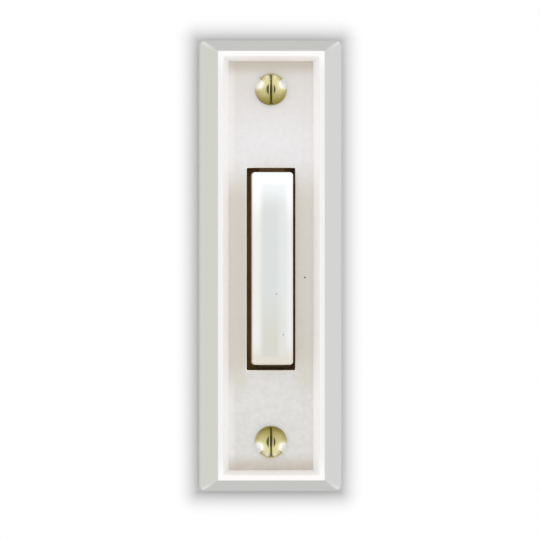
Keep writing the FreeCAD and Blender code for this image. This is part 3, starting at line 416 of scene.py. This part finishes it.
# Low in the gap the bar is painted in brown shade, darker to the right and at both ends, most at the bottom.
gap_shade = lay_coats(tree, LEFT_GAP_SHADE, [
    (RIGHT_GAP_SHADE, (parts["X"], -MM, MM, 0, 1)),
    (END_GAP_SHADE, (from_middle, 16.95 * MM, 17.1 * MM, 0, 1)),
    (FOOT_GAP_SHADE, (parts["Z"], -17.6 * MM, -18.0 * MM, 0, 1)),
])
colour = lay_coats(tree, colour, [(gap_shade, (parts["Y"], -11.5 * MM, -10.2 * MM, 0, 1))])
surface = add_node(tree, "BsdfPrincipled", {
    "Base Color": colour, "Roughness": 0.22, "IOR": 1.49, "Subsurface Weight": 0.35,
    "Subsurface Radius": (1.0, 1.0, 1.0), "Subsurface Scale": 0.8 * MM}).outputs[0]
add_node(tree, "OutputMaterial", {"Surface": surface})
bar.data.materials.append(milky)
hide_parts("push_bar")
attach(bar, "bar")


# Wall screws: number 4 round-head wood screws in plated brass, 1 inch long, driven through the posts.
# Head and shank are turned, the slot is sawn, and the thread is rolled down to a gimlet point.
SCREW_Z = 31.2 * MM
HEAD_RADIUS, HEAD_EDGE, HEAD_TOP = 2.825 * MM, 10.35 * MM, 12.0 * MM
NECK_RADIUS, ROOT_RADIUS, CREST_RADIUS = 1.1 * MM, 1.0 * MM, 1.42 * MM
THREAD_PITCH = 25.4 / 22 * MM
THREAD_END, TIP_LENGTH, RUN_IN_LENGTH = 15.3 * MM, 3.2 * MM, 1.2 * MM
SLOT_HALF, SLOT_CHAMFER, SLOT_FLOOR = 0.14 * MM, (0.31 * MM, 0.24 * MM), 10.75 * MM


def trace(name, points):
    """A line of edges through points, drawn by extruding one vertex. It is left in edit mode."""
    bpy.ops.object.select_all(action="DESELECT")
    bpy.ops.mesh.primitive_plane_add(size=MM, location=points[0])
    piece = bpy.context.active_object
    piece.name = name
    bpy.ops.object.transform_apply(location=True, rotation=True, scale=True)
    bpy.ops.object.mode_set(mode="EDIT")
    bpy.ops.mesh.select_mode(type="VERT")
    bpy.ops.mesh.select_all(action="SELECT")
    bpy.ops.mesh.merge(type="CENTER")
    for before, after in zip(points, points[1:]):
        bpy.ops.mesh.extrude_region_move(TRANSFORM_OT_translate={"value": Vector(after) - Vector(before)})
    return piece


def turn(piece, steps, centre=(0, 0, 0)):
    """Spins the traced line round the Y axis into a closed solid, and leaves edit mode."""
    bpy.ops.mesh.select_all(action="SELECT")
    bpy.ops.mesh.spin(steps=steps, angle=2 * math.pi, center=centre, axis=(0, 1, 0))
    bpy.ops.mesh.select_all(action="SELECT")
    bpy.ops.mesh.remove_doubles(threshold=1e-6)
    bpy.ops.mesh.normals_make_consistent(inside=False)
    bpy.ops.object.mode_set(mode="OBJECT")


def dome(radius, low, high, steps):
    """Points from the top of a dome down to its rim, as (radius, height)."""
    rise = high - low
    ball = (radius ** 2 + rise ** 2) / (2 * rise)
    lean = math.asin(radius / ball)
    return [(ball * math.sin(lean * step / steps), high - ball + ball * math.cos(lean * step / steps))
            for step in range(steps + 1)]


profile = dome(HEAD_RADIUS, HEAD_EDGE, HEAD_TOP, 16)
profile += [(HEAD_RADIUS, PANEL_HEIGHT), (NECK_RADIUS, PANEL_HEIGHT), (NECK_RADIUS, 0.25 * MM),
            (ROOT_RADIUS, 0), (0, 0)]
screw = trace("upper_wall_screw", [(radius, -height, 0) for radius, height in profile])
turn(screw, 96)
edge = [(SLOT_HALF + SLOT_CHAMFER[0], 0), (SLOT_HALF, SLOT_CHAMFER[1])]
ball = (HEAD_RADIUS ** 2 + (HEAD_TOP - HEAD_EDGE) ** 2) / (2 * (HEAD_TOP - HEAD_EDGE))
section = [(edge[0][0], -2 * MM)] + edge + [(SLOT_HALF, 2.5 * MM)]
section = ([(-reach, depth) for reach, depth in section]
           + [(reach, depth) for reach, depth in reversed(section)])
stations = [step * 0.2 * MM for step in range(-15, 16)]
tops = [ball - math.sqrt(ball ** 2 - station ** 2) - HEAD_TOP for station in stations]
saw = trace("saw", [(reach, tops[0] + depth, stations[0]) for reach, depth in section + section[:1]])
bpy.ops.mesh.select_all(action="SELECT")
bpy.ops.mesh.remove_doubles(threshold=1e-7)
bpy.ops.mesh.edge_face_add()
for step in range(1, len(stations)):
    move = (0, tops[step] - tops[step - 1], stations[step] - stations[step - 1])
    bpy.ops.mesh.extrude_region_move(TRANSFORM_OT_translate={"value": move})
bpy.ops.mesh.select_all(action="SELECT")
bpy.ops.mesh.normals_make_consistent(inside=False)
bpy.ops.mesh.bisect(plane_co=(0, -SLOT_FLOOR, 0), plane_no=(0, 1, 0), use_fill=True, clear_outer=True)
bpy.ops.object.mode_set(mode="OBJECT")
cut(screw, saw)
bpy.ops.object.select_all(action="DESELECT")
screw.select_set(True)
bpy.context.view_layer.objects.active = screw
soften = screw.modifiers.new("soften", "BEVEL")
soften.width = 0.04 * MM
soften.segments = 2
soften.limit_method = "ANGLE"
soften.angle_limit = math.radians(40)
bpy.ops.object.modifier_apply(modifier="soften")

# The thread: one ridge wound into a helix and cut off flat at both ends. It grows out of the shank over its
# first millimetre, is drawn down to a tip over its last three, and nothing of it passes THREAD_END.
turns = math.ceil(THREAD_END / THREAD_PITCH) + 1
ridge = [(0, ROOT_RADIUS), (0.42, ROOT_RADIUS), (0.66, CREST_RADIUS), (0.74, CREST_RADIUS),
         (1.0, ROOT_RADIUS)]
thread = trace("thread", [(radius, (part - 1) * THREAD_PITCH, 0) for part, radius in ridge])
bpy.ops.object.mode_set(mode="OBJECT")
helix = thread.modifiers.new("helix", "SCREW")
helix.axis = "Y"
helix.screw_offset = THREAD_PITCH
helix.iterations = turns
helix.steps = helix.render_steps = 40
helix.use_merge_vertices = True
helix.merge_threshold = 1e-6
bpy.ops.object.modifier_apply(modifier="helix")
bpy.ops.object.mode_set(mode="EDIT")
for height, outside in ((0.02 * MM, False), (THREAD_END, True)):
    bpy.ops.mesh.select_all(action="SELECT")
    bpy.ops.mesh.bisect(plane_co=(0, height, 0), plane_no=(0, 1, 0), use_fill=True, clear_inner=not outside,
                        clear_outer=outside)
bpy.ops.mesh.select_all(action="SELECT")
bpy.ops.mesh.remove_doubles(threshold=1e-6)
bpy.ops.mesh.normals_make_consistent(inside=False)
bpy.ops.object.mode_set(mode="OBJECT")
for vertex in thread.data.vertices:
    spot = vertex.co
    spot.y = min(spot.y, THREAD_END)
    reach = math.hypot(spot.x, spot.z)
    run_in = min(max(spot.y / RUN_IN_LENGTH, 0), 1)
    run_out = min(max((THREAD_END - spot.y) / TIP_LENGTH, 0.01), 1) ** 0.75
    target = (ROOT_RADIUS + (reach - ROOT_RADIUS) * run_in) * run_out
    scale = target / reach if reach > 1e-7 else 1
    spot.x *= scale
    spot.z *= scale
bpy.ops.object.select_all(action="DESELECT")
thread.select_set(True)
screw.select_set(True)
bpy.context.view_layer.objects.active = screw
bpy.ops.object.join()
bpy.ops.object.shade_smooth_by_angle(angle=math.radians(32))

# Plated brass: a pale gold. Painted shade turns it olive on the side of each head that is nearer the bar,
# painted highlights make it almost white on its outer shoulders and beside the slot, and two short dark ticks
# beside the shoulders are painted reflections.
# Besides the gold, the colours here are painted: olive shade, pale and white highlights, dark ticks.
GOLD, OLIVE_SHADE, HIGHLIGHT_GOLD, HIGHLIGHT_WHITE, TICK_REFLECTION = "#E0D7A2", "#968A42", "#F8F4CF", "#FFFEF8", "#5E5A38"
HIGHLIGHT_SPOTS = [
    # place across and outwards from the head's middle, and where the painted highlight's white ends and has
    # gone, in mm
    ((2.25, 0.95), (0.72, 1.02)),
    ((0.75, 2.2), (0.05, 0.35)),
]
HIGHLIGHT_HALO = 0.45
TICK_PLACE, TICK_LEAN = (1.47 * MM, 1.52 * MM), 0.79
plated, tree, place = new_material("polished_plated_brass")
across = add_node(tree, "VectorMath", {0: place}, operation="ABSOLUTE").outputs[0]
parts = add_node(tree, "SeparateXYZ", {0: across}).outputs
cloud = add_node(tree, "TexNoise", {"Vector": place, "Scale": 1 / (1.6 * MM), "Detail": 5.0}).outputs[0]
uneven = {0: cloud, 1: 1.2 * MM, 2: parts["Z"]}
uneven = add_node(tree, "Math", uneven, operation="MULTIPLY_ADD").outputs[0]
# Painted shade, standing for a darker reflection: the head turns olive on the side nearer the bar.
shaded_side = {0: uneven, 1: SCREW_Z - 1.9 * MM, 2: SCREW_Z + 1.5 * MM, 3: 0.95, 4: 0.0}
shaded_side = add_node(tree, "MapRange", shaded_side, interpolation_type="SMOOTHSTEP").outputs[0]
colour = add_node(tree, "Mix", {0: shaded_side, 6: GOLD, 7: OLIVE_SHADE}, data_type="RGBA").outputs[2]
flat = add_node(tree, "CombineXYZ", {"X": parts["X"], "Z": parts["Z"]}).outputs[0]
# Painted highlights on each head's outer shoulders and in two small spots beside the slot.
for (sideways, outwards), (white, gone) in HIGHLIGHT_SPOTS:
    off_spot = {0: flat, 1: (sideways * MM, 0, SCREW_Z + outwards * MM)}
    off_spot = add_node(tree, "VectorMath", off_spot, operation="DISTANCE").outputs["Value"]
    colour = lay_coats(tree, colour, [
        (HIGHLIGHT_GOLD, (off_spot, white * MM, (gone + HIGHLIGHT_HALO) * MM, 0.7, 0)),
        (HIGHLIGHT_WHITE, (off_spot, white * MM, gone * MM, 1, 0)),
    ])
# Two short dark ticks beside the shoulders: painted reflections.
out = {0: parts["Z"], 1: SCREW_Z + TICK_PLACE[1]}
out = add_node(tree, "Math", out, operation="SUBTRACT").outputs[0]
off = add_node(tree, "Math", {0: parts["X"], 1: TICK_PLACE[0]}, operation="SUBTRACT").outputs[0]
off = add_node(tree, "Math", {0: out, 1: -TICK_LEAN, 2: off}, operation="MULTIPLY_ADD").outputs[0]
off = add_node(tree, "Math", {0: off}, operation="ABSOLUTE").outputs[0]
colour = lay_coats(tree, colour, [
    (TICK_REFLECTION, (off, 0.05 * MM, 0.12 * MM, 0.7, 0), (out, -0.1 * MM, 0.1 * MM, 0, 1))])
rough = add_node(tree, "MapRange", {0: shaded_side, 3: 0.1, 4: 0.22}).outputs[0]
scuff = add_node(tree, "TexNoise", {"Vector": place, "Scale": 1 / (0.25 * MM), "Detail": 3.0}).outputs[0]
bump = add_node(tree, "Bump", {"Height": scuff, "Strength": 0.06, "Distance": 0.02 * MM}).outputs[0]
surface = add_node(tree, "BsdfPrincipled", {"Base Color": colour, "Metallic": 1.0, "Roughness": rough,
                                            "Normal": bump}).outputs[0]
add_node(tree, "OutputMaterial", {"Surface": surface})
screw.data.materials.append(plated)

lower_screw = screw.copy()
lower_screw.data = screw.data.copy()
lower_screw.name = "lower_wall_screw"
bpy.context.collection.objects.link(lower_screw)
for piece, node, height in ((screw, "upper_mounting_screw", SCREW_Z),
                            (lower_screw, "lower_mounting_screw", -SCREW_Z)):
    piece.data.transform(Matrix.Translation((0, 0, height)))
    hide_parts(node)
    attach(piece, "housing")


# Base plate: phenolic board, paper pressed in brown resin and stamped to its outline. It is glossy on both
# faces and paler on the front, and the layers of the paper show on its cut edge.
BOARD_BROWN, BOARD_FRONT = ("#86592F", "#AD7D49"), "#D9A264"
phenolic, tree, place = new_material("phenolic_paper_board")
fibre = add_node(tree, "Mapping", {"Vector": place, "Scale": (1, 1, 0.35)}).outputs[0]
fibre = add_node(tree, "TexNoise", {"Vector": fibre, "Scale": 1 / (0.9 * MM), "Detail": 6.0}).outputs[0]
colour = {0: fibre, 6: BOARD_BROWN[0], 7: BOARD_BROWN[1]}
colour = add_node(tree, "Mix", colour, data_type="RGBA").outputs[2]
parts = add_node(tree, "SeparateXYZ", {0: place}).outputs
colour = lay_coats(tree, colour, [(BOARD_FRONT, (parts["Y"], -4.2 * MM, -4.35 * MM, 0, 1))])
layers = {"Vector": place, "Scale": 1 / (0.2 * MM) / 20, "Distortion": 1.0}
layers = add_node(tree, "TexWave", layers, bands_direction="Y").outputs[0]
bump = add_node(tree, "Bump", {"Height": layers, "Strength": 0.15, "Distance": 0.02 * MM}).outputs[0]
bump = add_node(tree, "Bump", {"Height": fibre, "Strength": 0.2, "Distance": 0.03 * MM,
                               "Normal": bump}).outputs[0]
surface = add_node(tree, "BsdfPrincipled", {
    "Base Color": colour, "Roughness": 0.38, "Normal": bump, "IOR": 1.55}).outputs[0]
add_node(tree, "OutputMaterial", {"Surface": surface})
finish_node("base_plate", phenolic)


# Contact leaf: phosphor-bronze strip, stamped with its fork and sprung up towards the bar.
# It is riveted to the board at its top, where a tapped collar takes the terminal screw.
LEAF_HALF_WIDTH = 3.5 * MM
LEAF_THICKNESS = 0.3 * MM
LEAF_LOW, LEAF_HIGH = 4.4 * MM, 6.8 * MM
LEAF_ENDS = (-16.6 * MM, 27.2 * MM)
RAMP = (5.0 * MM, 16.0 * MM)
FORK, FORK_CORNER = (2.1 * MM, -10.6 * MM, 11.0 * MM), 1.2 * MM
TERMINAL_Z, COLLAR_RADIUS = 23.5 * MM, 2.2 * MM
# the tapped hole for the terminal screw, the rivet's hole and the moving contact's: (height, radius)
LEAF_HOLES = [(TERMINAL_Z, 1.48 * MM), (18.7 * MM, 0.85 * MM), (-14.5 * MM, 0.65 * MM)]
leaf = add_block((-LEAF_HALF_WIDTH, -LEAF_LOW - LEAF_THICKNESS, LEAF_ENDS[0]),
                 (LEAF_HALF_WIDTH, -LEAF_LOW, LEAF_ENDS[1]))
leaf.name = "bronze_contact_leaf"
bpy.ops.object.mode_set(mode="EDIT")
for step in range(-4, 29):
    bpy.ops.mesh.select_all(action="SELECT")
    bpy.ops.mesh.bisect(plane_co=(0, 0, RAMP[0] + step * 0.5 * MM), plane_no=(0, 0, 1))
bpy.ops.object.mode_set(mode="OBJECT")
for vertex in leaf.data.vertices:
    part = min(max((RAMP[1] - vertex.co.z) / (RAMP[1] - RAMP[0]), 0), 1)
    vertex.co.y -= (LEAF_HIGH - LEAF_LOW) * part * part * (3 - 2 * part)
slot_tool = add_block((-FORK[0], -9 * MM, FORK[1]), (FORK[0], -3 * MM, FORK[2]))
bpy.ops.object.mode_set(mode="EDIT")
choose(slot_tool, "EDGE", lambda ends: abs(ends[0].y - ends[1].y) > MM)
bpy.ops.mesh.bevel(offset=FORK_CORNER, segments=8)
bpy.ops.object.mode_set(mode="OBJECT")
cut(leaf, slot_tool)
collar = trace("collar", [(COLLAR_RADIUS, -4.65 * MM, 0), (COLLAR_RADIUS, -5.6 * MM, 0),
                          (COLLAR_RADIUS - 0.1 * MM, -5.7 * MM, 0), (0, -5.7 * MM, 0),
                          (0, -4.65 * MM, 0), (COLLAR_RADIUS, -4.65 * MM, 0)])
turn(collar, 48)
collar.data.transform(Matrix.Translation((0, 0, TERMINAL_Z)))
cut(leaf, collar, "UNION")
for height, radius in LEAF_HOLES:
    bpy.ops.object.select_all(action="DESELECT")
    bpy.ops.mesh.primitive_cylinder_add(vertices=32, radius=radius, depth=8 * MM,
                                        location=(0, -6 * MM, height), rotation=(math.pi / 2, 0, 0))
    bpy.ops.object.transform_apply(location=True, rotation=True, scale=True)
    cut(leaf, bpy.context.active_object)
bpy.ops.object.select_all(action="DESELECT")
leaf.select_set(True)
bpy.ops.object.shade_smooth_by_angle(angle=math.radians(30))

# Rolled phosphor bronze: reddish, with fine straight lines from the rolls along its length.
bronze, tree, place = new_material("rolled_phosphor_bronze")
lines = add_node(tree, "Mapping", {"Vector": place, "Scale": (1, 1, 0.03)}).outputs[0]
lines = add_node(tree, "TexNoise", {"Vector": lines, "Scale": 1 / (0.15 * MM), "Detail": 3.0}).outputs[0]
colour = add_node(tree, "Mix", {0: lines, 6: "#B98552", 7: "#D9A973"}, data_type="RGBA").outputs[2]
bump = add_node(tree, "Bump", {"Height": lines, "Strength": 0.15, "Distance": 0.01 * MM}).outputs[0]
surface = add_node(tree, "BsdfPrincipled", {
    "Base Color": colour, "Metallic": 1.0, "Roughness": 0.32, "Normal": bump}).outputs[0]
add_node(tree, "OutputMaterial", {"Surface": surface})
leaf.data.materials.append(bronze)
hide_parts("contact_leaf")
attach(leaf, "housing")
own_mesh(leaf)


# Fixed strip, rivets, terminal screws and washers: stamped or turned brass, dulled a little with age.
brass, tree, place = new_material("stamped_brass")
cloud = add_node(tree, "TexNoise", {"Vector": place, "Scale": 1 / (1.6 * MM), "Detail": 5.0}).outputs[0]
colour = add_node(tree, "Mix", {0: cloud, 6: "#B59A55", 7: "#DCC57E"}, data_type="RGBA").outputs[2]
rough = add_node(tree, "MapRange", {0: cloud, 3: 0.24, 4: 0.42}).outputs[0]
scuff = add_node(tree, "TexNoise", {"Vector": place, "Scale": 1 / (0.2 * MM), "Detail": 3.0}).outputs[0]
bump = add_node(tree, "Bump", {"Height": scuff, "Strength": 0.15, "Distance": 0.02 * MM}).outputs[0]
surface = add_node(tree, "BsdfPrincipled", {
    "Base Color": colour, "Metallic": 1.0, "Roughness": rough, "Normal": bump}).outputs[0]
add_node(tree, "OutputMaterial", {"Surface": surface})
for name in ("fixed_contact_strip", "leaf_rivet", "strip_rivet", "upper_terminal_screw",
             "lower_terminal_screw", "upper_wire_washer", "lower_wire_washer"):
    finish_node(name, brass)


# Contacts: silver-plated rivets, one in the strip and one in the free end of the leaf.
silver, tree, place = new_material("silver_plated_contact")
cloud = add_node(tree, "TexNoise", {"Vector": place, "Scale": 1 / (0.6 * MM), "Detail": 4.0}).outputs[0]
colour = add_node(tree, "Mix", {0: cloud, 6: "#B9B6AE", 7: "#DEDBD4"}, data_type="RGBA").outputs[2]
rough = add_node(tree, "MapRange", {0: cloud, 3: 0.22, 4: 0.4}).outputs[0]
surface = add_node(tree, "BsdfPrincipled", {
    "Base Color": colour, "Metallic": 1.0, "Roughness": rough}).outputs[0]
add_node(tree, "OutputMaterial", {"Surface": surface})
for name in ("fixed_contact", "moving_contact"):
    finish_node(name, silver)


# Lamp: a 3 mm diffused lamp, cast in milky epoxy, that lights the bar from inside.
epoxy, tree, place = new_material("cast_epoxy")
cloud = add_node(tree, "TexNoise", {"Vector": place, "Scale": 1 / (1.5 * MM), "Detail": 3.0}).outputs[0]
colour = add_node(tree, "Mix", {0: cloud, 6: "#DAD6C8", 7: "#EBE8DD"}, data_type="RGBA").outputs[2]
surface = add_node(tree, "BsdfPrincipled", {
    "Base Color": colour, "Roughness": 0.15, "IOR": 1.54, "Subsurface Weight": 0.5,
    "Subsurface Radius": (1.0, 1.0, 0.9), "Subsurface Scale": 0.6 * MM}).outputs[0]
add_node(tree, "OutputMaterial", {"Surface": surface})
finish_node("led", epoxy)


# Wires and solder: tinned copper leads, run along the back of the board and soldered where they meet.
tinned, tree, place = new_material("tinned_copper")
cloud = add_node(tree, "TexNoise", {"Vector": place, "Scale": 1 / (0.8 * MM), "Detail": 4.0}).outputs[0]
colour = add_node(tree, "Mix", {0: cloud, 6: "#B4B4B2", 7: "#D3D3D0"}, data_type="RGBA").outputs[2]
rough = add_node(tree, "MapRange", {0: cloud, 3: 0.25, 4: 0.42}).outputs[0]
surface = add_node(tree, "BsdfPrincipled", {
    "Base Color": colour, "Metallic": 1.0, "Roughness": rough}).outputs[0]
add_node(tree, "OutputMaterial", {"Surface": surface})
for name in ("led_lead_upper", "led_lead_lower", "resistor_upper_lead", "resistor_lower_lead"):
    finish_node(name, tinned)

JOINTS = {
    # name: (place, half size)
    "solder_on_leaf_rivet": ((0, -2.35, 17.6), (0.75, 0.45, 1.0)),
    "solder_on_strip_rivet": ((1.25, -2.25, -18.7), (0.7, 0.45, 0.75)),
    "solder_on_lamp_pin": ((0.15, -1.6, -1.27), (0.6, 0.55, 0.55)),
}
for name, (middle, half) in JOINTS.items():
    bpy.ops.object.select_all(action="DESELECT")
    bpy.ops.mesh.primitive_ico_sphere_add(subdivisions=4, radius=1)
    blob = bpy.context.active_object
    blob.name = name
    for vertex in blob.data.vertices:
        ripple = 1 + 0.07 * math.sin(3.1 * vertex.co.x + 2 * vertex.co.z) * math.cos(2.3 * vertex.co.z)
        vertex.co = Vector(half[axis] * vertex.co[axis] * ripple + middle[axis] for axis in range(3)) * MM
    bpy.ops.object.shade_smooth()
    blob.data.materials.append(tinned)
    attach(blob, "housing")


# Resistor: a fired ceramic rod in beige lacquer, with four painted bands that give its value.
BANDS, BAND_HALF = [(-3.2, "#7A3F1E"), (-4.35, "#171412"), (-5.2, "#A4262A"), (-7.9, "#B28F3C")], 0.3 * MM
lacquer, tree, place = new_material("lacquered_resistor")
parts = add_node(tree, "SeparateXYZ", {0: place}).outputs
cloud = add_node(tree, "TexNoise", {"Vector": place, "Scale": 1 / (0.7 * MM), "Detail": 3.0}).outputs[0]
colour = add_node(tree, "Mix", {0: cloud, 6: "#C4A577", 7: "#D5BA8E"}, data_type="RGBA").outputs[2]
for height, code in BANDS:
    band = {0: parts["Z"], 1: height * MM, 2: BAND_HALF}
    band = add_node(tree, "Math", band, operation="COMPARE").outputs[0]
    colour = add_node(tree, "Mix", {0: band, 6: colour, 7: code}, data_type="RGBA").outputs[2]
surface = add_node(tree, "BsdfPrincipled", {
    "Base Color": colour, "Roughness": 0.35, "IOR": 1.5}).outputs[0]
add_node(tree, "OutputMaterial", {"Surface": surface})
finish_node("resistor", lacquer)
